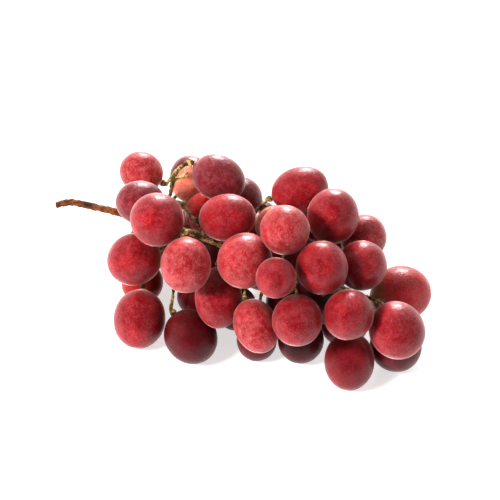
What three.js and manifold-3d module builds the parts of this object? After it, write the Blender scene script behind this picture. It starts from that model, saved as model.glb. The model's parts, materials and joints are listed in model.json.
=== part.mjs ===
import * as THREE from "three";
import { mergeVertices } from "three/addons/utils/BufferGeometryUtils.js";
import Module from "manifold-3d";

const wasm = await Module();
wasm.setup();

// Bunch of red table grapes lying on its side, its cut stalk pointing to the left (-X).
// Millimetres, +Z up. The origin is under the middle of the bunch, on the surface it lies on.

// Driving dimensions
const GAP = 0.3; // clear distance kept between any two pieces
const FLAT_DEPTH = 0.3; // how much of a berry is flattened where it rests on the surface
const LIFT = 0.8; // least height of the other berries above the surface
const FLOOR_LAYER_HEIGHT = 12; // hidden berries centred lower than this rest on the surface
const PEDUNCLE_RADIUS = 1.35;
const RACHIS_RADIUS = 1.5;
const RACHIS_TIP_RADIUS = 1.0;
const BRANCH_RADIUS = 0.95;
const PEDICEL_RADIUS = 0.72;
const RECEPTACLE_RADIUS = 1.55; // flared end of a pedicel
const RECEPTACLE_LENGTH = 2.2;
const BERRY_DETAIL = 2; // subdivision of the icosahedron each berry is made from
const STEM_SIDES = 6;
const RACHIS_SIDES = 8;
const NODE_SPACING = 2.6; // distance between the rings of the main stem
const PEDUNCLE_SHARE = 0.22; // the part of the main stem that is bare stalk

// The direction the bunch was measured from: facing +Y, looking down by this angle, from this far away.
const SIGHT_ELEVATION = THREE.MathUtils.degToRad(50);
const SIGHT_DISTANCE = 1100;
const SIGHT = new THREE.Vector3(0, Math.cos(SIGHT_ELEVATION), -Math.sin(SIGHT_ELEVATION));
const SIGHT_UP = new THREE.Vector3(0, Math.sin(SIGHT_ELEVATION), Math.cos(SIGHT_ELEVATION));

// How far a point at this height lies behind the view's own plane.
function depthOf(up, height) {
  let depth = 0;
  for (let pass = 0; pass < 4; pass += 1) {
    const spread = 1 + depth / SIGHT_DISTANCE;
    depth = (up * spread * SIGHT_UP.z - height) / -SIGHT.z;
  }
  return depth;
}

// A point given by its place across and up the view, and its height above the surface.
function placed(across, up, height) {
  const depth = depthOf(up, height);
  const spread = 1 + depth / SIGHT_DISTANCE;
  const sideways = new THREE.Vector3(across * spread, 0, 0);
  return sideways.addScaledVector(SIGHT_UP, up * spread).addScaledVector(SIGHT, depth);
}

// A direction given across and up the view, and away from the viewer.
function aimed(across, up, away) {
  const sideways = new THREE.Vector3(across, 0, 0);
  return sideways.addScaledVector(SIGHT_UP, up).addScaledVector(SIGHT, away).normalize();
}

// A berry seen in the view: place across and up, height of its centre, half width across its axis,
// half length along its axis, and the way its stalk end points (across, up, away).
function seen(across, up, height, halfWidth, halfLength, pole) {
  const centre = placed(across, up, height);
  const axis = aimed(...pole);
  const spread = 1 + depthOf(up, height) / SIGHT_DISTANCE;
  const equatorial = halfWidth * spread;
  const polar = halfLength * spread;
  return { across, up, centre, start: centre.clone(), equatorial, polar, pole: axis, onFloor: false };
}

// A berry resting on the surface with a small flat spot, seen in the view.
function resting(across, up, equatorial, polar, pole) {
  return { ...seen(across, up, equatorial, equatorial, polar, pole), onFloor: true };
}

// A berry hidden under the others, given by its place on the surface plane and height of its centre.
function hidden(x, y, height, equatorial, polar, pole) {
  const centre = new THREE.Vector3(x, y, height);
  const onFloor = height < FLOOR_LAYER_HEIGHT;
  const axis = new THREE.Vector3(...pole).normalize();
  return { centre, start: centre.clone(), equatorial, polar, pole: axis, onFloor };
}

const berries = [
  // Left end, round the stalk
  seen(-43.4, 30.8, 32, 8.3, 8.9, [0.8, -0.4, 0.3]),
  seen(-43.6, 18.4, 43, 8.8, 10.2, [1, -0.1, 0.4]),
  seen(-37, 11.6, 55, 10.75, 11.3, [0.5, -0.3, 0.8]),
  seen(-46, -4, 28, 10.4, 11.1, [0.8, 0.3, 0.5]),
  seen(-25.8, -6, 46, 10.15, 11.3, [-0.05, 1, 0.15]),
  resting(-44.2, -27.8, 10.4, 12.1, [0.1, 1, 0.2]),
  resting(-43, -13.4, 8.2, 8.6, [0.4, 0.8, 0.4]),
  resting(-23.6, -34.8, 10.4, 11.5, [-0.6, 0.8, 0.3]),
  // Middle of the front
  seen(-12.4, -19.6, 29, 9.6, 12.6, [0, 1, 0.2]),
  resting(-20.6, -18.8, 7.8, 8.3, [0, 0.7, 0.7]),
  resting(-5.4, -25, 8.7, 9.2, [0, 0.8, 0.5]),
  seen(-14.6, -3.6, 23, 8.4, 8.9, [0.1, 0.8, 0.3]),
  seen(2.4, -30.4, 27, 8.8, 11.9, [-0.35, 0.8, 0.5]),
  resting(2.8, -34.4, 8.1, 8.6, [0, 0.9, 0.3]),
  seen(19, -28.4, 35, 10.1, 10.9, [0.1, 0.6, 0.8]),
  resting(19.6, -36, 9.2, 9.6, [0, 0.9, 0.3]),
  seen(27, -20.5, 28, 9.2, 9.8, [0.2, 0.6, 0.7]),
  // Right front
  seen(39.2, -26.2, 39, 10.1, 10.8, [0.4, 0.4, 0.8]),
  resting(40.2, -44.5, 10, 12, [0, 0.9, -0.2]),
  seen(10.4, -11.4, 54, 8.15, 9.1, [0, 0.3, 0.9]),
  seen(28.8, -7.4, 50, 10.5, 11.1, [-0.05, -0.6, 0.8]),
  seen(58.8, -32.4, 30, 11.1, 12.2, [-0.4, 0.7, 0.5]),
  resting(57.9, -38.4, 10.3, 10.9, [-0.2, 0.8, 0.4]),
  seen(60.2, -18, 19, 11.1, 12.4, [-1, -0.15, 0.1]),
  seen(44.8, -6.4, 40, 10, 10.5, [-0.3, -0.3, 0.9]),
  seen(45.4, 4.6, 38, 9.2, 9.7, [-0.5, -0.5, 0.6]),
  // Top and back
  seen(33.2, 13.2, 52, 10.4, 11.6, [-0.1, -0.8, 0.5]),
  seen(20, 23.8, 47, 9.2, 11.7, [-1, -0.3, 0.15]),
  seen(13.8, 7.6, 58, 9.95, 10.4, [0, -0.2, 1]),
  seen(-2, -4.2, 48, 10.9, 12.1, [0.3, 0.5, 0.8]),
  seen(-9.2, 12.4, 51, 9.5, 11.8, [-1, -0.1, 0.35]),
  seen(-12.6, 28.5, 49, 9.1, 11.2, [-0.88, 0.47, 0]),
  seen(-4.2, 19.6, 27, 9, 9.8, [-0.6, -0.5, 0.6]),
  seen(-23, 27, 31, 8.2, 8.6, [-0.5, -0.4, 0.7]),
  seen(-17.4, 14.8, 32, 8.6, 9, [-0.4, -0.6, 0.7]),
  resting(-21.6, 7.6, 9, 9.5, [0.1, 0.7, -0.6]),
  seen(10, 9.6, 42, 7.8, 8.3, [-0.5, -0.6, 0.6]),
  // Underneath and behind, out of sight
  hidden(-34, -3, 10, 9.6, 10.2, [0.3, -0.2, 1]),
  hidden(2, 4, 10, 9.8, 10.4, [-0.1, -0.5, 1]),
  hidden(22, 2, 10, 9.6, 10.4, [-0.1, -0.6, 1]),
  hidden(40, -10, 10, 9.8, 10.6, [-0.3, -0.5, 1]),
  hidden(-18, -13, 10, 9.4, 10, [0.2, 0, 1]),
  hidden(-1, -16, 10, 9.6, 10.2, [0, 0, 1]),
  hidden(16, -35, 10, 9.2, 9.8, [0, -0.2, 1]),
  hidden(34, -46, 10, 9.6, 10.2, [0, 0.2, 1]),
  hidden(3, -12, 27, 9, 9.6, [-0.2, -1, 0.4]),
  hidden(26, -14, 30, 9.4, 10, [-0.2, -1, 0]),
  hidden(17, -29, 28, 9, 9.6, [0, -1, 0.2]),
  seen(-23.4, 29.2, 16, 8.2, 8.8, [0.6, -0.4, -0.3]),
];

// Stem layout: places across, up and height along each part that shows, or that carries the rest
const RACHIS_PATH = [
  [-77.6, 17.6, 30],
  [-72, 18.8, 30.5],
  [-65, 17.6, 31.5],
  [-53.2, 14.8, 33.5],
  [-40, 11, 36.5],
  [-30, 8.4, 40],
  [-22.8, 6.4, 41],
  [-17, 4, 40.5],
  [-11.2, 1.6, 38.5],
  [0, -3, 33.5],
  [15, -8, 30],
  [30, -13, 27],
  [46, -19, 24],
];
const ARCH_PATH = [
  [-35, 14, 37],
  [-32, 21.2, 42],
  [-31.6, 24, 44],
  [-30.8, 27.2, 46],
  [-28.8, 32, 47],
  [-25.6, 34.2, 47],
];
const BARE_UPPER_PATH = [
  [-30.8, 27.2, 46],
  [-28.6, 28.6, 47],
  [-26.8, 29.2, 48],
];
const BARE_LOWER_PATH = [
  [-18, 4.5, 41],
  [-20, 8.8, 44],
  [-21.8, 11.6, 45],
  [-24.2, 14.4, 46],
  [-26, 16.4, 47],
];
const UPPER_LATERAL_PATH = [
  [-8, 0.4, 37],
  [-1, 8, 41],
  [2, 14.8, 43],
  [5, 17.6, 44.5],
];

// The stem is a tree of nodes. Each node knows its parent, and whether it may move while the berries settle.
const stemNodes = [];

function addNode(at, parent, radius, fixed) {
  stemNodes.push({ at, parent, radius, fixed });
  return stemNodes.length - 1;
}

function nearestNode(point) {
  let best = 0;
  for (let index = 1; index < stemNodes.length; index += 1) {
    if (stemNodes[index].at.distanceTo(point) < stemNodes[best].at.distanceTo(point)) {
      best = index;
    }
  }
  return best;
}

// Lays a fixed stem along a path. A joined one starts at the nearest node already laid.
function layStem(path, radiusAt, joined) {
  const points = path.map(([across, up, height]) => placed(across, up, height));
  let parent = -1;
  if (joined) {
    parent = nearestNode(points[0]);
    points[0] = stemNodes[parent].at.clone();
  }
  const curve = new THREE.CatmullRomCurve3(points, false, "centripetal");
  const count = Math.max(2, Math.round(curve.getLength() / NODE_SPACING));
  curve.getSpacedPoints(count).forEach((at, index) => {
    if (index > 0 || !joined) {
      parent = addNode(at, parent, radiusAt(index / count), true);
    }
  });
  return parent;
}

const rachisEnd = layStem(RACHIS_PATH, (share) => {
  if (share < PEDUNCLE_SHARE) {
    return THREE.MathUtils.lerp(PEDUNCLE_RADIUS, RACHIS_RADIUS, share / PEDUNCLE_SHARE);
  }
  const onward = (share - PEDUNCLE_SHARE) / (1 - PEDUNCLE_SHARE);
  return THREE.MathUtils.lerp(RACHIS_RADIUS, RACHIS_TIP_RADIUS, onward);
}, false);
layStem(ARCH_PATH, () => BRANCH_RADIUS, true);
const bareUpperEnd = layStem(BARE_UPPER_PATH, () => PEDICEL_RADIUS, true);
const bareLowerEnd = layStem(BARE_LOWER_PATH, () => PEDICEL_RADIUS, true);
layStem(UPPER_LATERAL_PATH, () => BRANCH_RADIUS, true);

// Settling: the berries start at their places and push each other, and the stem, apart until all are clear.
const NEIGHBOUR_RANGE = 32; // berries further apart than this cannot touch
const SIGHT_PULL = 0.3; // share of the way back to its line of sight that a berry takes each round
const CLOSING_DEPTH_PULL = 0.04; // the same in depth, while the heap closes up
const ALIGNING_DEPTH_PULL = 0.008; // the same in depth, while the berries come back onto their lines of sight
const CLOSING_ROUNDS = 300;
const ALIGNING_ROUNDS = 300;
const EASE_ROUNDS = 350; // berries and pedicels make room for each other
const QUIET_ROUNDS = 60; // nothing is drawn back any more, so every gap opens fully
const STRAIGHTENING = 0.3;
const QUIET_STRAIGHTENING = 0.05;
const PEDICEL_YIELD = 0.25; // share of the room between a pedicel and a berry that the berry makes
const NECK_YIELD = 0.3;

// Distance from a berry's centre to its skin's outermost plane in a direction.
function reach(berry, direction) {
  const along = berry.pole.dot(direction);
  return Math.sqrt(berry.equatorial ** 2 + (berry.polar ** 2 - berry.equatorial ** 2) * along ** 2);
}

// How far a point is outside a berry's skin (never more than the true distance), and the way out.
function outside(berry, point) {
  const offset = point.clone().sub(berry.centre);
  const along = offset.dot(berry.pole);
  const side = offset.clone().addScaledVector(berry.pole, -along);
  const scaled = Math.hypot(along / berry.polar, side.length() / berry.equatorial);
  const way = side.divideScalar(berry.equatorial ** 2).addScaledVector(berry.pole, along / berry.polar ** 2);
  return { clearance: (scaled - 1) * berry.equatorial, way: way.normalize() };
}

// The flared pedicel end of a berry, as a ball that other berries keep clear of.
function neckOf(berry) {
  return berry.centre.clone().addScaledVector(berry.pole, berry.polar + GAP + RECEPTACLE_LENGTH);
}

// Draws a berry back towards its place: weakly in depth, and a seen berry firmly onto its line of sight.
function drawBack(berry, sightPull, depthPull) {
  if (berry.across === undefined) {
    berry.centre.lerp(berry.start, depthPull);
    return;
  }
  const depth = berry.centre.dot(SIGHT);
  const spread = 1 + depth / SIGHT_DISTANCE;
  berry.centre.x += (berry.across * spread - berry.centre.x) * sightPull;
  berry.centre.addScaledVector(SIGHT_UP, (berry.up * spread - berry.centre.dot(SIGHT_UP)) * sightPull);
  berry.centre.addScaledVector(SIGHT, (berry.start.dot(SIGHT) - depth) * depthPull);
}

function keepOnFloor(berry) {
  const down = reach(berry, new THREE.Vector3(0, 0, -1));
  if (berry.onFloor) {
    berry.centre.z = down - FLAT_DEPTH;
  } else {
    berry.centre.z = Math.max(berry.centre.z, down + LIFT);
  }
}

// Pushes two berries apart until their skins are GAP apart.
function separate(first, second) {
  const between = second.centre.clone().sub(first.centre);
  const distance = between.length();
  between.divideScalar(distance);
  const overlap = reach(first, between) + reach(second, between) + GAP - distance;
  if (overlap > 0) {
    first.centre.addScaledVector(between, -overlap / 2);
    second.centre.addScaledVector(between, overlap / 2);
  }
}

// Keeps a point of the stem clear of a berry. The berry takes the given share of the move.
function clearOf(berry, node, radius, berryShare) {
  const { clearance, way } = outside(berry, node);
  const overlap = radius + GAP - clearance;
  if (overlap > 0) {
    berry.centre.addScaledVector(way, -overlap * berryShare);
    node.addScaledVector(way, overlap * (1 - berryShare));
  }
}

// Turns a berry's stalk end away from a neighbour that crowds it.
function freeNeck(berry, neighbour) {
  const neck = neckOf(berry);
  const { clearance, way } = outside(neighbour, neck);
  const overlap = RECEPTACLE_RADIUS + GAP - clearance;
  if (overlap > 0) {
    neighbour.centre.addScaledVector(way, -overlap * NECK_YIELD);
    berry.pole.addScaledVector(way, (overlap * NECK_YIELD) / berry.polar).normalize();
  }
}

// One round of settling. The pulls are the shares of the way back to its place that a berry takes.
function settleOnce(sightPull, depthPull) {
  for (const berry of berries) {
    drawBack(berry, sightPull, depthPull);
  }
  for (let i = 0; i < berries.length; i += 1) {
    for (let j = i + 1; j < berries.length; j += 1) {
      if (berries[i].centre.distanceTo(berries[j].centre) < NEIGHBOUR_RANGE) {
        separate(berries[i], berries[j]);
        freeNeck(berries[i], berries[j]);
        freeNeck(berries[j], berries[i]);
      }
    }
  }
  for (const node of stemNodes.filter((candidate) => candidate.fixed)) {
    for (const berry of berries) {
      clearOf(berry, node.at, node.radius, 1);
    }
  }
  for (const berry of berries) {
    keepOnFloor(berry);
  }
}

for (let round = 0; round < CLOSING_ROUNDS; round += 1) {
  settleOnce(SIGHT_PULL, CLOSING_DEPTH_PULL);
}
for (let round = 0; round < ALIGNING_ROUNDS; round += 1) {
  settleOnce(SIGHT_PULL, ALIGNING_DEPTH_PULL);
}

// Routes: the gaps between the berries are a grid of cells, and each pedicel takes the shortest open way
// from its berry to the stem, so that neighbouring pedicels run together and form side branches.
const CELL = 1.3;
const CROWDED_COST = 60; // cost of a cell too close to a berry, against about 1 for an open one
const MEASURED_RANGE = 6; // how far from a berry's skin the gaps are measured
const GRID_MIN = new THREE.Vector3(-60, -85, 2.5);
const GRID_COUNT = [108, 88, 46];
const OFFSETS = [];
for (const dx of [-1, 0, 1]) {
  for (const dy of [-1, 0, 1]) {
    for (const dz of [-1, 0, 1]) {
      if (dx || dy || dz) {
        OFFSETS.push([dx, dy, dz, Math.hypot(dx, dy, dz) * CELL]);
      }
    }
  }
}

function cellIndex(ix, iy, iz) {
  return (iz * GRID_COUNT[1] + iy) * GRID_COUNT[0] + ix;
}

function cellPlace(index) {
  const ix = index % GRID_COUNT[0];
  const iy = Math.floor(index / GRID_COUNT[0]) % GRID_COUNT[1];
  const iz = Math.floor(index / (GRID_COUNT[0] * GRID_COUNT[1]));
  return [ix, iy, iz];
}

function cellCentre(index) {
  return new THREE.Vector3(...cellPlace(index)).multiplyScalar(CELL).add(GRID_MIN);
}

function cellAt(point) {
  const scaled = point.clone().sub(GRID_MIN).divideScalar(CELL).round().toArray();
  const kept = scaled.map((value, axis) => THREE.MathUtils.clamp(value, 0, GRID_COUNT[axis] - 1));
  return cellIndex(...kept);
}

function measureCells() {
  const costs = new Float32Array(GRID_COUNT[0] * GRID_COUNT[1] * GRID_COUNT[2]).fill(MEASURED_RANGE);
  for (const berry of berries) {
    const range = berry.polar + MEASURED_RANGE;
    const low = berry.centre.clone().subScalar(range).sub(GRID_MIN).divideScalar(CELL).floor().toArray();
    const high = berry.centre.clone().addScalar(range).sub(GRID_MIN).divideScalar(CELL).ceil().toArray();
    for (let iz = Math.max(0, low[2]); iz <= Math.min(GRID_COUNT[2] - 1, high[2]); iz += 1) {
      for (let iy = Math.max(0, low[1]); iy <= Math.min(GRID_COUNT[1] - 1, high[1]); iy += 1) {
        for (let ix = Math.max(0, low[0]); ix <= Math.min(GRID_COUNT[0] - 1, high[0]); ix += 1) {
          const index = cellIndex(ix, iy, iz);
          costs[index] = Math.min(costs[index], outside(berry, cellCentre(index)).clearance);
        }
      }
    }
  }
  const needed = PEDICEL_RADIUS + GAP;
  return costs.map((clearance) => (clearance < needed ? CROWDED_COST : 1 + 1 / clearance));
}

// Queue that always hands out its entry of lowest cost.
class LowestFirst {
  constructor() {
    this.entries = [];
  }

  push(cost, cell) {
    const entries = this.entries;
    let slot = entries.length;
    entries.push([cost, cell]);
    while (slot > 0) {
      const above = (slot - 1) >> 1;
      if (entries[above][0] <= entries[slot][0]) {
        break;
      }
      [entries[above], entries[slot]] = [entries[slot], entries[above]];
      slot = above;
    }
  }

  pop() {
    const entries = this.entries;
    const lowest = entries[0];
    const last = entries.pop();
    if (entries.length > 0) {
      entries[0] = last;
      let slot = 0;
      for (;;) {
        let least = slot;
        for (const below of [2 * slot + 1, 2 * slot + 2]) {
          if (below < entries.length && entries[below][0] < entries[least][0]) {
            least = below;
          }
        }
        if (least === slot) {
          break;
        }
        [entries[least], entries[slot]] = [entries[slot], entries[least]];
        slot = least;
      }
    }
    return lowest;
  }
}

// For every cell, the next cell on the shortest way to the stem.
function waysToStem(costs, sources) {
  const total = new Float64Array(costs.length).fill(Infinity);
  const next = new Int32Array(costs.length).fill(-1);
  const queue = new LowestFirst();
  for (const cell of sources) {
    total[cell] = 0;
    queue.push(0, cell);
  }
  while (queue.entries.length > 0) {
    const [cost, cell] = queue.pop();
    if (cost <= total[cell]) {
      const [ix, iy, iz] = cellPlace(cell);
      for (const [dx, dy, dz, length] of OFFSETS) {
        const [nx, ny, nz] = [ix + dx, iy + dy, iz + dz];
        const within = [nx, ny, nz].every((value, axis) => value >= 0 && value < GRID_COUNT[axis]);
        if (within) {
          const neighbour = cellIndex(nx, ny, nz);
          const sum = cost + length * costs[neighbour];
          if (sum < total[neighbour]) {
            total[neighbour] = sum;
            next[neighbour] = cell;
            queue.push(sum, neighbour);
          }
        }
      }
    }
  }
  return next;
}

const BARE_STALK_LIMIT = -50; // no berry hangs from the stalk left of this
const CELLS_PER_NODE = 2;

function growPedicels() {
  const owner = new Map();
  stemNodes.forEach((node, index) => {
    if (node.at.x > BARE_STALK_LIMIT && index !== bareUpperEnd && index !== bareLowerEnd) {
      owner.set(cellAt(node.at), index);
    }
  });
  const next = waysToStem(measureCells(), owner.keys());
  for (const berry of berries) {
    const route = [];
    let cell = cellAt(neckOf(berry));
    while (!owner.has(cell)) {
      route.push(cell);
      cell = next[cell];
    }
    let parent = owner.get(cell);
    route.reverse().forEach((passed, step) => {
      if (step % CELLS_PER_NODE === CELLS_PER_NODE - 1 && step < route.length - 1) {
        parent = addNode(cellCentre(passed), parent, PEDICEL_RADIUS, false);
      }
      owner.set(passed, parent);
    });
    berry.neck = addNode(neckOf(berry), parent, PEDICEL_RADIUS, false);
  }
}

growPedicels();

const THICKENING = 0.2;

// A branch grows thicker with the number of berries it carries.
function thickenBranches() {
  const carried = stemNodes.map(() => 0);
  for (const berry of berries) {
    for (let index = berry.neck; index >= 0; index = stemNodes[index].parent) {
      carried[index] += 1;
    }
  }
  stemNodes.forEach((node, index) => {
    if (!node.fixed) {
      node.radius = Math.min(RACHIS_TIP_RADIUS, PEDICEL_RADIUS * Math.max(1, carried[index]) ** THICKENING);
    }
  });
}

thickenBranches();

// Draws each movable node of the stem towards the middle of the nodes it is joined to.
function straightenStem(necks, share) {
  const sums = stemNodes.map(() => new THREE.Vector3());
  const counts = stemNodes.map(() => 0);
  stemNodes.forEach((node, index) => {
    if (node.parent >= 0) {
      sums[index].add(stemNodes[node.parent].at);
      counts[index] += 1;
      sums[node.parent].add(node.at);
      counts[node.parent] += 1;
    }
  });
  stemNodes.forEach((node, index) => {
    if (necks.has(index)) {
      node.at.copy(neckOf(necks.get(index)));
    } else if (!node.fixed) {
      node.at.lerp(sums[index].divideScalar(counts[index]), share);
    }
  });
}

// Lets the pedicels and the berries make room for each other.
function easeOnce(necks, straightening, sightPull, depthPull) {
  straightenStem(necks, straightening);
  for (const berry of berries) {
    stemNodes.forEach((node, index) => {
      if (index !== berry.neck && node.at.distanceTo(berry.centre) < berry.polar + RECEPTACLE_LENGTH) {
        clearOf(berry, node.at, node.radius, node.fixed ? 1 : PEDICEL_YIELD);
      }
    });
  }
  settleOnce(sightPull, depthPull);
}

const necks = new Map(berries.map((berry) => [berry.neck, berry]));
for (let round = 0; round < EASE_ROUNDS; round += 1) {
  easeOnce(necks, STRAIGHTENING, SIGHT_PULL, ALIGNING_DEPTH_PULL);
}
for (let round = 0; round < QUIET_ROUNDS; round += 1) {
  easeOnce(necks, QUIET_STRAIGHTENING, 0, 0);
}

// Rings of a round stem with a changing radius, closed at both ends. The twist turns all its rings.
function stemTube(points, radii, sides, twist) {
  const positions = [];
  const triangles = [];
  const normal = new THREE.Vector3(0, 0, 1);
  points.forEach((point, ring) => {
    const before = points[Math.max(0, ring - 1)];
    const after = points[Math.min(points.length - 1, ring + 1)];
    const tangent = after.clone().sub(before).normalize();
    normal.addScaledVector(tangent, -normal.dot(tangent));
    if (normal.length() < 0.2) {
      normal.set(1, 0, 0).addScaledVector(tangent, -tangent.x);
    }
    normal.normalize();
    const side = tangent.clone().cross(normal);
    for (let corner = 0; corner < sides; corner += 1) {
      const turn = (corner / sides) * Math.PI * 2 + twist;
      const place = point.clone();
      place.addScaledVector(normal, Math.cos(turn) * radii[ring]);
      place.addScaledVector(side, Math.sin(turn) * radii[ring]);
      positions.push(...place.toArray());
    }
  });
  const last = points.length - 1;
  for (let ring = 0; ring < last; ring += 1) {
    for (let corner = 0; corner < sides; corner += 1) {
      const here = ring * sides + corner;
      const beside = ring * sides + ((corner + 1) % sides);
      triangles.push(here, beside, beside + sides, here, beside + sides, here + sides);
    }
  }
  for (let corner = 1; corner < sides - 1; corner += 1) {
    triangles.push(0, corner + 1, corner);
    triangles.push(last * sides, last * sides + corner, last * sides + corner + 1);
  }
  const geometry = new THREE.BufferGeometry();
  geometry.setAttribute("position", new THREE.Float32BufferAttribute(positions, 3));
  geometry.setIndex(triangles);
  return geometry;
}

function solidOf(geometry) {
  geometry.deleteAttribute("normal");
  geometry.deleteAttribute("uv");
  const merged = mergeVertices(geometry, 1e-4);
  return new wasm.Manifold(new wasm.Mesh({
    numProp: 3,
    vertProperties: new Float32Array(merged.attributes.position.array),
    triVerts: new Uint32Array(merged.index.array),
  }));
}

function geometryOf(solid) {
  const mesh = solid.getMesh();
  const geometry = new THREE.BufferGeometry();
  geometry.setAttribute("position", new THREE.Float32BufferAttribute(mesh.vertProperties, 3));
  geometry.setIndex(Array.from(mesh.triVerts));
  const flat = geometry.toNonIndexed();
  flat.computeVertexNormals();
  return flat;
}

// The chain of nodes from a branch end back to the part of the stem already built.
function chainFrom(end, built) {
  const chain = [end];
  let index = stemNodes[end].parent;
  while (index >= 0 && !built.has(index)) {
    chain.push(index);
    index = stemNodes[index].parent;
  }
  chain.forEach((node) => built.add(node));
  if (index >= 0) {
    chain.push(index);
  }
  return chain.reverse();
}

const ROOT_WIDTH = 0.85; // a branch starts this much narrower, inside the stem it grows from
const SIMPLIFY_TOLERANCE = 0.02;
const SHOULDER_PLACE = 0.55;
const SHOULDER_WIDTH = 0.92;

// A receptacle: the last two rings widen into the round pad that the berry sits on.
function addReceptacle(points, radii, tip) {
  const neck = points[points.length - 1];
  points.push(neck.clone().lerp(tip, SHOULDER_PLACE), tip);
  radii.push(RECEPTACLE_RADIUS * SHOULDER_WIDTH, RECEPTACLE_RADIUS);
}

function makeStem() {
  const built = new Set();
  const tubes = [];
  const rachis = chainFrom(rachisEnd, built);
  tubes.push(stemTube(
    rachis.map((index) => stemNodes[index].at),
    rachis.map((index) => stemNodes[index].radius),
    RACHIS_SIDES,
    0,
  ));
  const ends = berries.map((berry) => {
    const tip = berry.centre.clone().addScaledVector(berry.pole, berry.polar + GAP);
    return { end: berry.neck, tip };
  });
  for (const end of [bareUpperEnd, bareLowerEnd]) {
    const { at, parent } = stemNodes[end];
    const onward = at.clone().sub(stemNodes[parent].at).setLength(RECEPTACLE_LENGTH);
    ends.push({ end, tip: at.clone().add(onward) });
  }
  for (const { end, tip } of ends) {
    const chain = chainFrom(end, built);
    const points = chain.map((index) => stemNodes[index].at);
    const radii = chain.map((index) => stemNodes[index].radius);
    radii[0] = radii[1] * ROOT_WIDTH;
    addReceptacle(points, radii, tip);
    tubes.push(stemTube(points, radii, STEM_SIDES, tubes.length));
  }
  const joined = wasm.Manifold.union(tubes.map(solidOf)).simplify(SIMPLIFY_TOLERANCE);
  const bodies = joined.decompose();
  return bodies.reduce((largest, body) => (body.volume() > largest.volume() ? body : largest));
}

const FLOOR_BLOCK = 60;

function makeBerry(berry) {
  const geometry = new THREE.IcosahedronGeometry(1, BERRY_DETAIL);
  geometry.scale(berry.equatorial, berry.equatorial, berry.polar);
  const turn = new THREE.Quaternion().setFromUnitVectors(new THREE.Vector3(0, 0, 1), berry.pole);
  geometry.applyQuaternion(turn);
  geometry.translate(...berry.centre.toArray());
  const solid = solidOf(geometry);
  if (!berry.onFloor) {
    return solid;
  }
  const block = new THREE.BoxGeometry(FLOOR_BLOCK, FLOOR_BLOCK, FLOOR_BLOCK);
  block.translate(berry.centre.x, berry.centre.y, -FLOOR_BLOCK / 2);
  return solid.subtract(solidOf(block));
}

const RIPE_RED = "#a92f3c";
const DEEP_MAROON = "#5c1420";
const DUSKY_VIOLET = "#8a4456";
const STEM_BROWN = "#6f4a26";

function skinMaterial(colour) {
  return new THREE.MeshStandardMaterial({ color: colour, roughness: 0.42, metalness: 0 });
}

const group = new THREE.Group();
group.name = "red_grapes";

function addPiece(name, solid, material) {
  const mesh = new THREE.Mesh(geometryOf(solid), material);
  mesh.name = name;
  group.add(mesh);
}

const barkMaterial = new THREE.MeshStandardMaterial({ color: STEM_BROWN, roughness: 0.8, metalness: 0 });
addPiece("stem", makeStem(), barkMaterial);
berries.forEach((berry, index) => {
  const name = `berry_${String(index + 1).padStart(2, "0")}`;
  let colour = RIPE_RED;
  if (berry.onFloor) {
    colour = DEEP_MAROON;
  } else if (index % 4 === 1) {
    colour = DUSKY_VIOLET;
  }
  addPiece(name, makeBerry(berry), skinMaterial(colour));
});

// Moves the bunch so that the origin is under the middle of its box.
const box = new THREE.Box3().setFromObject(group);
const middle = box.getCenter(new THREE.Vector3());
for (const mesh of group.children) {
  mesh.geometry.translate(-middle.x, -middle.y, 0);
}

export default group;
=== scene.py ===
"""Finished looks of a small bunch of red table grapes that lies on a pale surface.

Every berry is a smooth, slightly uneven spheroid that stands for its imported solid, and one remeshed
and roughened piece stands for the whole stalk with its branches and pedicels.
"""

import json
import logging
import math
from dataclasses import dataclass, field
from enum import Enum

import bmesh
import bpy
import numpy as np
from mathutils import Matrix, Vector, noise
from mathutils.kdtree import KDTree


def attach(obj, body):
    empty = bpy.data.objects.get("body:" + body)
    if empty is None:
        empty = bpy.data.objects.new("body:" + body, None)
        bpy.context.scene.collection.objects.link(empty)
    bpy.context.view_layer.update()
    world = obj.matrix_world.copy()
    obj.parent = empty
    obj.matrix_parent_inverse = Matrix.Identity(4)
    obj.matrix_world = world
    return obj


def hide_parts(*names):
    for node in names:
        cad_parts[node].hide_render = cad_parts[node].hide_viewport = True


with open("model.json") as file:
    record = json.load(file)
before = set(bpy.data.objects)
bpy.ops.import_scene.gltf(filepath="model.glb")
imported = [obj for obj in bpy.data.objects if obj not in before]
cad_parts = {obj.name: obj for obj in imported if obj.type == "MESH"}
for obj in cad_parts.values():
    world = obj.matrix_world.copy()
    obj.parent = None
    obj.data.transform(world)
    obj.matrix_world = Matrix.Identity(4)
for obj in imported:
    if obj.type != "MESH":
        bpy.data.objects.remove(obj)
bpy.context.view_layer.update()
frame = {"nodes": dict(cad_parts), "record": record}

LOG = logging.getLogger("red_grapes")
BODY = "root"
STEM_NODE = "stem"
STALK_NAME = "grape_stalk"
BERRY_PREFIX = "berry_"
MILLIMETRE = 0.001
# Points of a berry that lie lower than this belong to the flat spot on which it rests.
FLAT_SPOT_RISE = 0.02 * MILLIMETRE

Socket = bpy.types.NodeSocket
Tree = bpy.types.NodeTree

WHITE = (1.0, 1.0, 1.0, 1.0)

# Sockets of Blender's Mix node when it mixes colours.
MIX_FACTOR, MIX_FIRST, MIX_SECOND, MIX_RESULT = 0, 6, 7, 2


def linear_colour(code: str) -> tuple[float, float, float, float]:
    """Turns an sRGB hex colour into linear RGBA.

    Args:
        code: The colour as six hexadecimal digits after a hash sign.

    Returns:
        Linear red, green, blue and an alpha of 1.
    """
    channels = [int(code[start : start + 2], 16) / 255 for start in (1, 3, 5)]
    linear = [c / 12.92 if c <= 0.04045 else ((c + 0.055) / 1.055) ** 2.4 for c in channels]
    return (linear[0], linear[1], linear[2], 1.0)


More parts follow.
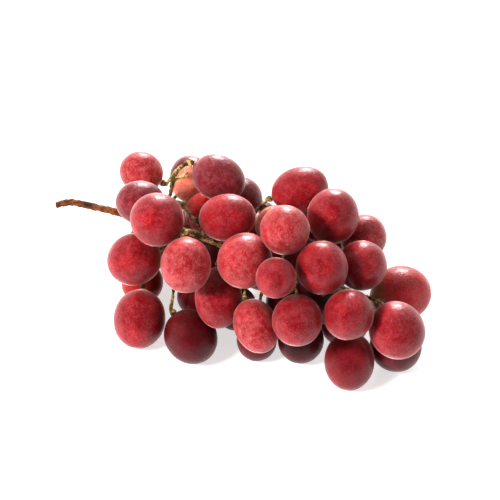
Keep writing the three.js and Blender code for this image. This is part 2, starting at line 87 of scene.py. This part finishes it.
def add_node(tree: Tree, kind: str, inputs: dict | None = None, **settings) -> bpy.types.Node:
    """Adds one shader node.

    Args:
        tree: The node tree that gets the node.
        kind: The node's type name in Blender.
        inputs: Values, or output sockets to link, by input name or number.
        **settings: The node's own properties.

    Returns:
        The new node.
    """
    node = tree.nodes.new(kind)
    for key, value in settings.items():
        setattr(node, key, value)
    for key, value in (inputs or {}).items():
        if isinstance(value, Socket):
            tree.links.new(value, node.inputs[key])
        else:
            node.inputs[key].default_value = value
    return node


def new_material(name: str) -> tuple[bpy.types.Material, Tree, bpy.types.Node]:
    """Makes a material that holds only its output node.

    Args:
        name: The material's name.

    Returns:
        The material, its node tree and its output node.
    """
    material = bpy.data.materials.new(name)
    material.use_nodes = True
    tree = material.node_tree
    tree.nodes.clear()
    return material, tree, tree.nodes.new("ShaderNodeOutputMaterial")


def place_in_millimetres(tree: Tree) -> Socket:
    """Gives an object's own coordinates in millimetres."""
    place = add_node(tree, "ShaderNodeTexCoord").outputs["Object"]
    inputs = {0: place, "Scale": 1 / MILLIMETRE}
    return add_node(tree, "ShaderNodeVectorMath", inputs, operation="SCALE").outputs[0]


def point_value(tree: Tree, layer: str) -> Socket:
    """Gives the value that a mesh's layer holds at each point."""
    return add_node(tree, "ShaderNodeAttribute", attribute_name=layer).outputs["Fac"]


def scaled(tree: Tree, factor: Socket, amount: float) -> Socket:
    """Multiplies a factor by an amount."""
    return add_node(tree, "ShaderNodeMath", {0: factor, 1: amount}, operation="MULTIPLY").outputs[0]


def blend(tree: Tree, factor: Socket, first: Socket | tuple, second: Socket | tuple) -> Socket:
    """Mixes two colours by a factor."""
    inputs = {MIX_FACTOR: factor, MIX_FIRST: first, MIX_SECOND: second}
    return add_node(tree, "ShaderNodeMix", inputs, data_type="RGBA").outputs[MIX_RESULT]


@dataclass(frozen=True)
class Patches:
    """Soft patches over the skin, where a clouded noise lies above a value.

    Attributes:
        size_mm: Size of a patch in millimetres.
        low: Noise value at which a patch starts.
        high: Noise value at which a patch is full.
        detail: How many finer layers the noise has.
    """

    size_mm: float
    low: float
    high: float
    detail: float = 3.0

    def factor(self, tree: Tree, where: Socket, seed: Socket) -> Socket:
        """Makes the patches.

        Args:
            tree: The node tree.
            where: Coordinates in millimetres.
            seed: The berry's number, which shifts the pattern.

        Returns:
            A factor from 0 to 1.
        """
        cloud = add_node(
            tree,
            "ShaderNodeTexNoise",
            {"Vector": where, "W": seed, "Scale": 1 / self.size_mm, "Detail": self.detail, "Roughness": 0.7},
            noise_dimensions="4D",
        )
        return add_node(
            tree,
            "ShaderNodeMapRange",
            {"Value": cloud.outputs["Fac"], "From Min": self.low, "From Max": self.high},
            interpolation_type="SMOOTHSTEP",
        ).outputs["Result"]


# The colour forms unevenly, in broad flushed zones over a deeper ground.
FLUSHED_ZONES = Patches(9.0, 0.40, 0.66)
# Pigment cells show through the skin as a fine mottling.
MOTTLING = Patches(0.7, 0.42, 0.56)
MOTTLING_SHARE = 0.8
# The wax catches in the pits of the skin as pale grains.
PALE_GRAINS = Patches(0.6, 0.54, 0.66, 2.0)
# It also lies in cloudy patches, which touching and picking have rubbed through.
CLOUDY_WAX = Patches(2.2, 0.38, 0.70, 6.0)

# Places along the axis, measured from the middle towards the tip, where the paler shoulder
# round the pedicel starts and where it is full.
SHOULDER_START_MM = -2.0
SHOULDER_FULL_MM = -11.0

# Lenticels are pale pin-pricks. Their edge and core are distances in shares of the spacing.
PORE_SPACING_MM = 0.8
PORE_EDGE = 0.30
PORE_CORE = 0.14
PORE_SHARE = 0.55

# The dried remains of the style, a brown point at the berry's tip.
STYLE_BROWN = "#4a2a1c"

SKIN_GRAIN_MM = 0.9
SKIN_RELIEF = 0.20 * MILLIMETRE
SKIN_IOR = 1.42
RUBBED_ROUGHNESS = 0.30
WAXED_ROUGHNESS = 0.52
# Red light goes deepest into the flesh.
FLESH_REACH = (1.0, 0.22, 0.16)
FLESH_DEPTH = 1.6 * MILLIMETRE
DUST_PINK = "#f6cfcb"


class Tone(Enum):
    """Skin colours that the berries of this bunch have."""

    RIPE = "ripe"
    ROSY = "rosy"
    CRIMSON = "crimson"
    DUSKY = "dusky"
    MAROON = "maroon"
    AMBER = "amber"
    GLOWING = "glowing"
    OLIVE = "olive"


@dataclass(frozen=True)
class SkinFinish:
    """Skin of a ripe red grape under its own wax.

    The skin is thin and the flesh behind it lets light through, which softens the shading and
    saturates the middle of the berry. The wax is a dust of tiny plates: it scatters light at
    grazing angles, so the edge of each berry turns pale pink, and it is rubbed off in patches.

    Attributes:
        tone: The name of the skin's colour.
        deep: Colour of the ground.
        flush: Colour of the flushed zones.
        wax: Colour of the wax.
        shoulder: Colour round the pedicel.
        wax_amount: How much the wax covers.
        shoulder_reach: How strong the shoulder's colour gets.
        glow: Share of the light that passes through the flesh.
        dust: Strength of the pale bloom at grazing angles.
    """

    tone: Tone
    deep: str
    flush: str
    wax: str
    shoulder: str
    wax_amount: float
    shoulder_reach: float
    glow: float
    dust: float

    def _shoulder(self, tree: Tree) -> Socket:
        """Gives the share of the paler shoulder, which got less sun round the pedicel."""
        return add_node(
            tree,
            "ShaderNodeMapRange",
            {
                "Value": point_value(tree, "toward_tip"),
                "From Min": SHOULDER_START_MM,
                "From Max": SHOULDER_FULL_MM,
                "To Max": self.shoulder_reach,
            },
            interpolation_type="SMOOTHSTEP",
        ).outputs["Result"]

    def _pores(self, tree: Tree, where: Socket, seed: Socket) -> Socket:
        """Gives the share of the lenticels.

        Args:
            tree: The node tree.
            where: Coordinates in millimetres.
            seed: The berry's number, which shifts the pattern.

        Returns:
            A factor from 0 to PORE_SHARE.
        """
        cells = add_node(
            tree,
            "ShaderNodeTexVoronoi",
            {"Vector": where, "W": seed, "Scale": 1 / PORE_SPACING_MM, "Randomness": 1.0},
            voronoi_dimensions="4D",
        )
        return add_node(
            tree,
            "ShaderNodeMapRange",
            {
                "Value": cells.outputs["Distance"],
                "From Min": PORE_EDGE,
                "From Max": PORE_CORE,
                "To Max": PORE_SHARE,
            },
        ).outputs["Result"]

    def build(self) -> bpy.types.Material:
        """Builds the skin's material.

        Returns:
            The material.
        """
        material, tree, output = new_material(f"grape_skin_{self.tone.value}")
        where = place_in_millimetres(tree)
        seed = point_value(tree, "berry_seed")
        wax_colour = linear_colour(self.wax)

        zones = FLUSHED_ZONES.factor(tree, where, seed)
        skin = blend(tree, zones, linear_colour(self.deep), linear_colour(self.flush))
        mottling = scaled(tree, MOTTLING.factor(tree, where, seed), MOTTLING_SHARE)
        skin = blend(tree, mottling, skin, linear_colour(self.deep))
        grains = scaled(tree, PALE_GRAINS.factor(tree, where, seed), self.wax_amount)
        skin = blend(tree, grains, skin, wax_colour)
        skin = blend(tree, self._shoulder(tree), skin, linear_colour(self.shoulder))
        cloudy = CLOUDY_WAX.factor(tree, where, seed)
        skin = blend(tree, scaled(tree, cloudy, self.wax_amount), skin, wax_colour)
        skin = blend(tree, self._pores(tree, where, seed), skin, wax_colour)
        skin = blend(tree, point_value(tree, "style_scar"), skin, linear_colour(STYLE_BROWN))

        grain = add_node(
            tree,
            "ShaderNodeTexNoise",
            {"Vector": where, "Scale": 1 / SKIN_GRAIN_MM, "Detail": 3.0, "Roughness": 0.65},
        )
        relief = add_node(
            tree,
            "ShaderNodeBump",
            {"Height": grain.outputs["Fac"], "Strength": 1.0, "Distance": SKIN_RELIEF},
        )
        gloss = add_node(
            tree,
            "ShaderNodeMapRange",
            {"Value": cloudy, "To Min": RUBBED_ROUGHNESS, "To Max": WAXED_ROUGHNESS},
        ).outputs["Result"]
        surface = add_node(
            tree,
            "ShaderNodeBsdfPrincipled",
            {
                "Base Color": skin,
                "Roughness": gloss,
                "IOR": SKIN_IOR,
                "Specular IOR Level": 0.45,
                "Normal": relief.outputs["Normal"],
                "Subsurface Weight": self.glow,
                "Subsurface Radius": FLESH_REACH,
                "Subsurface Scale": FLESH_DEPTH,
                "Coat Weight": 0.16,
                "Coat Roughness": 0.16,
                "Coat IOR": SKIN_IOR,
                "Sheen Weight": self.dust,
                "Sheen Roughness": 0.28,
                "Sheen Tint": linear_colour(DUST_PINK),
            },
        )
        tree.links.new(surface.outputs["BSDF"], output.inputs["Surface"])
        return material


SKINS = {
    finish.tone: finish
    for finish in (
        SkinFinish(Tone.RIPE, "#800510", "#b41c24", "#b06068", "#a42e34", 0.28, 0.35, 0.24, 1.00),
        SkinFinish(Tone.ROSY, "#940f18", "#c0383c", "#c88080", "#b84a46", 0.38, 0.40, 0.26, 1.00),
        SkinFinish(Tone.CRIMSON, "#72060f", "#98141c", "#8c444e", "#861a24", 0.26, 0.30, 0.22, 0.70),
        SkinFinish(Tone.DUSKY, "#6e0e16", "#90242c", "#96585f", "#7a2c34", 0.52, 0.35, 0.20, 1.00),
        SkinFinish(Tone.MAROON, "#52040a", "#740c14", "#5e2a34", "#500e16", 0.24, 0.25, 0.16, 0.10),
        SkinFinish(Tone.AMBER, "#c45a46", "#dc9878", "#d8a898", "#e6bc98", 0.30, 0.85, 0.36, 0.60),
        SkinFinish(Tone.GLOWING, "#90090c", "#b8221c", "#a64a44", "#b2422e", 0.18, 0.55, 0.45, 0.35),
        SkinFinish(Tone.OLIVE, "#ac1a1e", "#ca4042", "#ae6e74", "#7a6e38", 0.36, 0.90, 0.28, 0.90),
    )
}

# Which colour each berry has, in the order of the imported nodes.
TONE_ORDER = (
    "rosy dusky ripe ripe rosy ripe glowing maroon ripe maroon "
    "maroon maroon rosy maroon ripe maroon maroon ripe crimson ripe "
    "ripe ripe maroon olive ripe rosy ripe ripe rosy rosy "
    "ripe dusky dusky amber glowing dusky amber maroon maroon crimson "
    "maroon maroon crimson maroon crimson ripe ripe crimson dusky"
).split()


@dataclass(frozen=True)
class StalkFinish:
    """Bark of a drying grape stalk.

    The stalk was green when it was cut. It has dried to brown where it is old and exposed, is
    still tan to olive inside the bunch, and is ridged and flecked with dark corky spots.

    Attributes:
        old: Brown of the old bark.
        worn: Lighter brown of the old bark where it has dried out.
        dark: Colour of the corky flecks.
        tan: Colour of the bark inside the bunch where it has dried out.
        young: Olive of the bark inside the bunch.
        zone_mm: Length over which the bark changes colour.
        fleck_mm: Size of a fleck.
        relief: Height of the fine relief in metres.
    """

    old: str = "#42200e"
    worn: str = "#84481f"
    dark: str = "#1c1006"
    tan: str = "#d8b47a"
    young: str = "#5a4e20"
    zone_mm: float = 4.0
    fleck_mm: float = 0.9
    relief: float = 0.25 * MILLIMETRE

    def build(self) -> bpy.types.Material:
        """Builds the bark's material.

        Returns:
            The material.
        """
        material, tree, output = new_material(STALK_NAME)
        where = place_in_millimetres(tree)

        broad = add_node(
            tree, "ShaderNodeTexNoise", {"Vector": where, "Scale": 1 / self.zone_mm, "Detail": 4.0}
        )
        drying = add_node(
            tree,
            "ShaderNodeMapRange",
            {"Value": broad.outputs["Fac"], "From Min": 0.38, "From Max": 0.56},
        ).outputs["Result"]
        inner = blend(tree, drying, linear_colour(self.young), linear_colour(self.tan))
        outer = blend(tree, drying, linear_colour(self.old), linear_colour(self.worn))
        bark = blend(tree, point_value(tree, "bark_age"), inner, outer)
        # The corky flecks lie closer together on the swollen ends.
        flecks = add_node(
            tree,
            "ShaderNodeTexNoise",
            {"Vector": where, "Scale": 1 / self.fleck_mm, "Detail": 4.0, "Roughness": 0.7},
        ).outputs["Fac"]
        inputs = {0: flecks, 1: point_value(tree, "cork")}
        raised = add_node(tree, "ShaderNodeMath", inputs, operation="ADD").outputs[0]
        spots = add_node(
            tree,
            "ShaderNodeMapRange",
            {"Value": raised, "From Min": 0.50, "From Max": 0.61, "To Max": 0.92},
        ).outputs["Result"]
        bark = blend(tree, spots, bark, linear_colour(self.dark))
        relief = add_node(
            tree,
            "ShaderNodeBump",
            {"Height": flecks, "Strength": 0.9, "Distance": self.relief},
        )
        surface = add_node(
            tree,
            "ShaderNodeBsdfPrincipled",
            {"Base Color": bark, "Roughness": 0.62, "IOR": 1.45, "Normal": relief.outputs["Normal"]},
        )
        tree.links.new(surface.outputs["BSDF"], output.inputs["Surface"])
        return material


def node_points(name: str) -> np.ndarray:
    """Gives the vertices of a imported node.

    Args:
        name: The node's name.

    Returns:
        An array of points in metres, one row each.
    """
    mesh = frame["nodes"][name].data
    flat = np.zeros(len(mesh.vertices) * 3, np.float64)
    mesh.vertices.foreach_get("co", flat)
    return flat.reshape(-1, 3)


def record_slots() -> dict[str, str]:
    """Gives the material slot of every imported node, by node name."""
    return {part["node"]: part["material_slot"] for part in frame["record"]["subparts"]}


@dataclass
class Spheroid:
    """A berry's body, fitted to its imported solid: centre, unit axis towards its tip, and half sizes."""

    centre: np.ndarray
    axis: np.ndarray
    equatorial: float
    polar: float

    @classmethod
    def fitted(cls, points: np.ndarray, stem: KDTree) -> "Spheroid":
        """Fits the spheroid to a node's vertices.

        Args:
            points: The node's vertices in metres.
            stem: The stalk's vertices, which tell the pedicel end from the tip.

        Returns:
            The fitted spheroid, with its axis pointing away from the pedicel.
        """
        round_part = points[points[:, 2] > FLAT_SPOT_RISE]
        start = round_part.mean(0)
        scale = np.abs(round_part - start).max()
        x, y, z = ((round_part - start) / scale).T
        terms = np.stack([x * x, y * y, z * z, 2 * x * y, 2 * x * z, 2 * y * z, x, y, z], 1)
        a, b, c, d, e, f, *slopes = np.linalg.lstsq(terms, np.ones(len(x)), rcond=None)[0]
        form = np.array([[a, d, e], [d, b, f], [e, f, c]])
        offset = -0.5 * np.linalg.solve(form, np.array(slopes))
        values, vectors = np.linalg.eigh(form / (1 + offset @ form @ offset))
        halves = scale / np.sqrt(values)
        odd = int(np.argmax(np.abs(halves - np.median(halves))))
        axis, polar = vectors[:, odd], halves[odd]
        equatorial = float(np.delete(halves, odd).mean())
        centre = start + offset * scale
        gaps = [stem.find(Vector(centre + side * axis * polar))[2] for side in (1, -1)]
        return cls(centre, axis if gaps[0] > gaps[1] else -axis, equatorial, float(polar))

    def turn(self) -> Matrix:
        """Gives the rotation that turns +Z towards the berry's tip."""
        return Vector(self.axis).to_track_quat("Z", "Y").to_matrix()


@dataclass
class Berry:
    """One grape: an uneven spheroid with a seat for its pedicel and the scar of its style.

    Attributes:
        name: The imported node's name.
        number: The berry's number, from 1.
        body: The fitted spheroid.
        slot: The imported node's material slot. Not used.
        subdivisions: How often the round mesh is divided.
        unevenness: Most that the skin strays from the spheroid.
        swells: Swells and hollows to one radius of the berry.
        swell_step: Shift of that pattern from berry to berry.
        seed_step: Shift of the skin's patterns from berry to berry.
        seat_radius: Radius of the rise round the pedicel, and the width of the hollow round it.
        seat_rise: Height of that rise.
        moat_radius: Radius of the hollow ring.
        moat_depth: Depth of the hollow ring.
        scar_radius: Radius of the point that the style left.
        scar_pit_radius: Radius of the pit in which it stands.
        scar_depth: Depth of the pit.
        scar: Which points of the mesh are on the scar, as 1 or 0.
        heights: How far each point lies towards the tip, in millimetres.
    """

    name: str
    number: int
    body: Spheroid
    slot: str
    subdivisions: int = 5
    unevenness: float = 0.11 * MILLIMETRE
    swells: float = 1.7
    swell_step: float = 7.3
    seed_step: float = 3.7
    seat_radius: float = 1.7 * MILLIMETRE
    seat_rise: float = 0.2 * MILLIMETRE
    moat_radius: float = 3.0 * MILLIMETRE
    moat_depth: float = 0.16 * MILLIMETRE
    scar_radius: float = 0.38 * MILLIMETRE
    scar_pit_radius: float = 1.1 * MILLIMETRE
    scar_depth: float = 0.14 * MILLIMETRE
    scar: list[float] = field(default_factory=list)
    heights: list[float] = field(default_factory=list)

    def _moved(self, point: Vector) -> Vector:
        """Turns a point of the unit sphere into a point of the skin, in the berry's own frame.

        Args:
            point: A point of the unit sphere.

        Returns:
            The skin's point in metres.
        """
        body = self.body
        placed = Vector((point.x * body.equatorial, point.y * body.equatorial, point.z * body.polar))
        outward = Vector(
            (point.x / body.equatorial, point.y / body.equatorial, point.z / body.polar)
        ).normalized()
        shift = Vector((self.number * self.swell_step, 0, 0))
        lift = self.unevenness * noise.noise(point * self.swells + shift)
        across = math.hypot(placed.x, placed.y)
        if point.z < 0:
            seat = math.exp(-((across / self.seat_radius) ** 4))
            moat = math.exp(-(((across - self.moat_radius) / self.seat_radius) ** 2))
            lift += self.seat_rise * seat - self.moat_depth * moat
        else:
            lift -= self.scar_depth * math.exp(-((across / self.scar_pit_radius) ** 2))
            lift += self.scar_depth * math.exp(-((across / self.scar_radius) ** 2))
        self.scar.append(1.0 if point.z > 0 and across < self.scar_radius else 0.0)
        self.heights.append(placed.z / MILLIMETRE)
        return placed + outward * lift

    def build(self, collection: bpy.types.Collection) -> bpy.types.Object:
        """Builds the berry's mesh in its place.

        Args:
            collection: The collection that gets it.

        Returns:
            The new object.
        """
        shape = bmesh.new()
        bmesh.ops.create_icosphere(shape, subdivisions=self.subdivisions, radius=1.0)
        turn = self.body.turn()
        floor = -float(self.body.centre[2])
        for vertex in shape.verts:
            vertex.co = turn @ self._moved(vertex.co)
            vertex.co.z = max(vertex.co.z, floor)
        for face in shape.faces:
            face.smooth = True
        mesh = bpy.data.meshes.new(f"grape_{self.number:02d}")
        shape.to_mesh(mesh)
        shape.free()
        layers = {
            "style_scar": self.scar,
            "toward_tip": self.heights,
            "berry_seed": [self.number * self.seed_step] * len(mesh.vertices),
        }
        for layer, values in layers.items():
            mesh.attributes.new(layer, "FLOAT", "POINT").data.foreach_set("value", values)
        piece = bpy.data.objects.new(f"grape_{self.number:02d}", mesh)
        collection.objects.link(piece)
        piece.location = Vector(self.body.centre)
        return piece

    def dress(self, piece: bpy.types.Object, skins: dict[Tone, bpy.types.Material]) -> None:
        """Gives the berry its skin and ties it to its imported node.

        Args:
            piece: The berry's object.
            skins: The skin materials by tone.
        """
        piece.data.materials.append(skins[Tone(TONE_ORDER[self.number - 1])])
        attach(piece, BODY)
        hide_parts(self.name)


@dataclass
class Stalk:
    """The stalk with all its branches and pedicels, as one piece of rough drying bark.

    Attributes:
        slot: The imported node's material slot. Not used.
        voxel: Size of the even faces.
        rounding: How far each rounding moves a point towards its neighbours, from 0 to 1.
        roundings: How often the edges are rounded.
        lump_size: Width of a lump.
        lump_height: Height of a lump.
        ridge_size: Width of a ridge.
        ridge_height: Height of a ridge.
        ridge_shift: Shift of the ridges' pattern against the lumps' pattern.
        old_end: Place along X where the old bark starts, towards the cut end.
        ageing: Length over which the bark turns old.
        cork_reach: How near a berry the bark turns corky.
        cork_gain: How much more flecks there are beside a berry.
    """

    slot: str
    voxel: float = 0.34 * MILLIMETRE
    rounding: float = 0.5
    roundings: int = 2
    lump_size: float = 1.7 * MILLIMETRE
    lump_height: float = 0.34 * MILLIMETRE
    ridge_size: float = 0.7 * MILLIMETRE
    ridge_height: float = 0.14 * MILLIMETRE
    ridge_shift: tuple[float, float, float] = (9.0, 4.0, 2.0)
    old_end: float = -36 * MILLIMETRE
    ageing: float = 12 * MILLIMETRE
    cork_reach: float = 2.6 * MILLIMETRE
    cork_gain: float = 0.10

    def build(self, collection: bpy.types.Collection) -> bpy.types.Object:
        """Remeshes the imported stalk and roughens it.

        Args:
            collection: The collection that gets it.

        Returns:
            The new object.
        """
        mesh = frame["nodes"][STEM_NODE].data.copy()
        mesh.name = STALK_NAME
        piece = bpy.data.objects.new(STALK_NAME, mesh)
        collection.objects.link(piece)
        remesh = piece.modifiers.new("even_faces", "REMESH")
        remesh.mode = "VOXEL"
        remesh.voxel_size = self.voxel
        remesh.use_smooth_shade = True
        smooth = piece.modifiers.new("rounded", "SMOOTH")
        smooth.factor = self.rounding
        smooth.iterations = self.roundings
        graph = bpy.context.evaluated_depsgraph_get()
        finished = bpy.data.meshes.new_from_object(piece.evaluated_get(graph))
        piece.modifiers.clear()
        piece.data = finished
        finished.name = STALK_NAME
        self._roughen(finished)
        return piece

    def _roughen(self, mesh: bpy.types.Mesh) -> None:
        """Adds lumps and fine ridges along the normals.

        Args:
            mesh: The stalk's even mesh.
        """
        moved = []
        shift = Vector(self.ridge_shift)
        for vertex in mesh.vertices:
            point = vertex.co
            lump = noise.noise(point / self.lump_size) * self.lump_height
            ridge = noise.noise(point / self.ridge_size + shift) * self.ridge_height
            place = point + vertex.normal * (lump + ridge)
            moved.extend((place.x, place.y, max(place.z, 0.0)))
        mesh.vertices.foreach_set("co", moved)
        mesh.update()

    def dress(self, piece: bpy.types.Object, bodies: list[Spheroid], bark: bpy.types.Material) -> None:
        """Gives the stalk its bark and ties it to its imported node.

        Args:
            piece: The stalk's object.
            bodies: The berries' bodies, whose nearness makes the bark corky.
            bark: The bark's material.
        """
        mesh = piece.data
        points = np.zeros(len(mesh.vertices) * 3, np.float32)
        mesh.vertices.foreach_get("co", points)
        points = points.reshape(-1, 3)
        nearest = np.full(len(points), np.inf)
        for body in bodies:
            away = np.linalg.norm(points - body.centre, axis=1) - body.equatorial
            nearest = np.minimum(nearest, away)
        cork = self.cork_gain * np.clip(1 - nearest / self.cork_reach, 0, 1)
        age = np.clip((self.old_end - points[:, 0]) / self.ageing, 0, 1)
        for name, values in (("cork", cork), ("bark_age", age)):
            layer = mesh.attributes.new(name, "FLOAT", "POINT")
            layer.data.foreach_set("value", values.astype(np.float32))
        mesh.materials.clear()
        mesh.materials.append(bark)
        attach(piece, BODY)
        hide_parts(STEM_NODE)


@dataclass(frozen=True)
class SoftLight:
    """One square soft light that points at the bunch.

    Attributes:
        name: The light's name.
        place: Where it hangs, in metres.
        size: Its side in metres.
        power: Its power in watts.
        glints: Whether it is mirrored in the skins.
    """

    name: str
    place: tuple[float, float, float]
    size: float
    power: float
    glints: bool

    def hang(self, collection: bpy.types.Collection) -> None:
        """Hangs the light.

        Args:
            collection: The collection that gets it.
        """
        lamp = bpy.data.lights.new(self.name, "AREA")
        lamp.size = self.size
        lamp.energy = self.power
        holder = bpy.data.objects.new(self.name, lamp)
        holder.location = self.place
        holder.rotation_euler = (-Vector(self.place)).to_track_quat("-Z", "Y").to_euler()
        holder.visible_glossy = self.glints
        collection.objects.link(holder)


# The skins mirror the one behind as small highlights. The wide one at the left isn't mirrored.
SOFT_LIGHTS = (
    SoftLight("back_softbox", (0.12, 1.2, 0.36), 0.40, 20.0, True),
    SoftLight("left_cloth", (-0.90, -0.55, 0.95), 0.34, 27.5, False),
)


@dataclass
class Studio:
    """A white table in a white room, and the camera that looks down on it.

    Attributes:
        lens: Focal length in millimetres.
        sensor: Width of the film in millimetres.
        distance: From the camera to the point that it looks at, in metres.
        elevation_deg: How far above level the camera stands, in degrees.
        aim: The point that the camera looks at, in metres.
        clip_start: Nearest distance that the camera sees, in metres.
        clip_end: Farthest distance that the camera sees, in metres.
        film_gamma: Contrast of the finished picture.
        floor_half_side: Half the table's side in metres.
        table_white: The table's own colour.
        table_glow: Strength of the light that the table gives off.
        dark_side: Direction of the room's dim side, up and behind the camera.
        dim_from: Likeness to that direction at which the room starts to dim.
        dim_to: Likeness to that direction at which it is dimmest.
        bright_room: Strength of the room's light.
        dark_room: Strength of the room's light on its dim side.
        left_share: How much more light the left gives, and the right less.
    """

    lens: float = 198.0
    sensor: float = 36.0
    distance: float = 1.1
    elevation_deg: float = 50.0
    aim: tuple[float, float, float] = (0.0032, 0.0215, 0.0)
    clip_start: float = 0.05
    clip_end: float = 20.0
    film_gamma: float = 0.85
    floor_half_side: float = 4.0
    table_white: str = "#c4c4c4"
    table_glow: float = 0.67
    dark_side: tuple[float, float, float] = (0.0, -0.70, 0.71)
    dim_from: float = 0.50
    dim_to: float = 0.95
    bright_room: float = 0.95
    dark_room: float = 0.2
    left_share: float = 0.2

    def build_floor(self, collection: bpy.types.Collection) -> None:
        """Lays the white table, which glows faintly as a light table does.

        Args:
            collection: The collection that gets it.
        """
        half = self.floor_half_side
        mesh = bpy.data.meshes.new("table_top")
        corners = [(-half, -half, 0), (half, -half, 0), (half, half, 0), (-half, half, 0)]
        mesh.from_pydata(corners, [], [(0, 1, 2, 3)])
        floor = bpy.data.objects.new("table_top", mesh)
        collection.objects.link(floor)
        material, tree, output = new_material("white_table")
        surface = add_node(
            tree,
            "ShaderNodeBsdfPrincipled",
            {
                "Base Color": linear_colour(self.table_white),
                "Roughness": 0.9,
                "Specular IOR Level": 0.1,
                "Emission Color": WHITE,
                "Emission Strength": self.table_glow,
            },
        )
        tree.links.new(surface.outputs["BSDF"], output.inputs["Surface"])
        mesh.materials.append(material)

    def build_lights(self, collection: bpy.types.Collection) -> None:
        """Sets the soft lights and the room, which is white but for its dim side behind the camera.

        Args:
            collection: The collection that gets the lights.
        """
        for light in SOFT_LIGHTS:
            light.hang(collection)
        world = bpy.data.worlds.new("white_room")
        world.use_nodes = True
        tree = world.node_tree
        background = tree.nodes["Background"]
        direction = add_node(tree, "ShaderNodeTexCoord").outputs["Generated"]
        facing = add_node(
            tree,
            "ShaderNodeVectorMath",
            {0: direction, 1: self.dark_side},
            operation="DOT_PRODUCT",
        ).outputs["Value"]
        strength = add_node(
            tree,
            "ShaderNodeMapRange",
            {
                "Value": facing,
                "From Min": self.dim_from,
                "From Max": self.dim_to,
                "To Min": self.bright_room,
                "To Max": self.dark_room,
            },
            interpolation_type="SMOOTHSTEP",
        ).outputs["Result"]
        across = add_node(tree, "ShaderNodeSeparateXYZ", {0: direction}).outputs["X"]
        side = add_node(
            tree,
            "ShaderNodeMapRange",
            {
                "Value": across,
                "From Min": -1.0,
                "From Max": 1.0,
                "To Min": 1.0 + self.left_share,
                "To Max": 1.0 - self.left_share,
            },
        ).outputs["Result"]
        sided = add_node(tree, "ShaderNodeMath", {0: strength, 1: side}, operation="MULTIPLY")
        tree.links.new(sided.outputs[0], background.inputs["Strength"])
        background.inputs["Color"].default_value = WHITE
        bpy.context.scene.world = world

    def build_camera(self, collection: bpy.types.Collection) -> None:
        """Sets the camera and the contrast of the picture.

        Args:
            collection: The collection that gets it.
        """
        data = bpy.data.cameras.new("camera")
        data.lens = self.lens
        data.sensor_width = self.sensor
        data.clip_start = self.clip_start
        data.clip_end = self.clip_end
        camera = bpy.data.objects.new("camera", data)
        rise = math.radians(self.elevation_deg)
        back = Vector((0.0, -math.cos(rise), math.sin(rise)))
        camera.location = Vector(self.aim) + back * self.distance
        camera.rotation_euler = (math.pi / 2 - rise, 0.0, 0.0)
        collection.objects.link(camera)
        bpy.context.scene.camera = camera
        view = bpy.context.scene.view_settings
        view.view_transform = "Standard"
        view.gamma = self.film_gamma


def main() -> None:
    """Builds the bunch, its finishes and the studio."""
    logging.basicConfig(level=logging.INFO, format="%(name)s: %(message)s")
    collection = bpy.context.scene.collection
    slots = record_slots()

    stem_points = node_points(STEM_NODE)
    tree = KDTree(len(stem_points))
    for index, point in enumerate(stem_points):
        tree.insert(point, index)
    tree.balance()

    skins = {tone: finish.build() for tone, finish in SKINS.items()}
    bodies = []
    for name in sorted(n for n in frame["nodes"] if n.startswith(BERRY_PREFIX)):
        body = Spheroid.fitted(node_points(name), tree)
        bodies.append(body)
        berry = Berry(name, int(name.removeprefix(BERRY_PREFIX)), body, slots[name])
        piece = berry.build(collection)
        berry.dress(piece, skins)
        LOG.info(
            "%s: %.1f by %.1f mm", piece.name, 2 * body.equatorial / MILLIMETRE, 2 * body.polar / MILLIMETRE
        )

    stalk = Stalk(slots[STEM_NODE])
    piece = stalk.build(collection)
    stalk.dress(piece, bodies, StalkFinish().build())
    LOG.info("%s: %d faces", piece.name, len(piece.data.polygons))

    studio = Studio()
    studio.build_floor(collection)
    studio.build_lights(collection)
    studio.build_camera(collection)


if __name__ == "__main__":
    main()
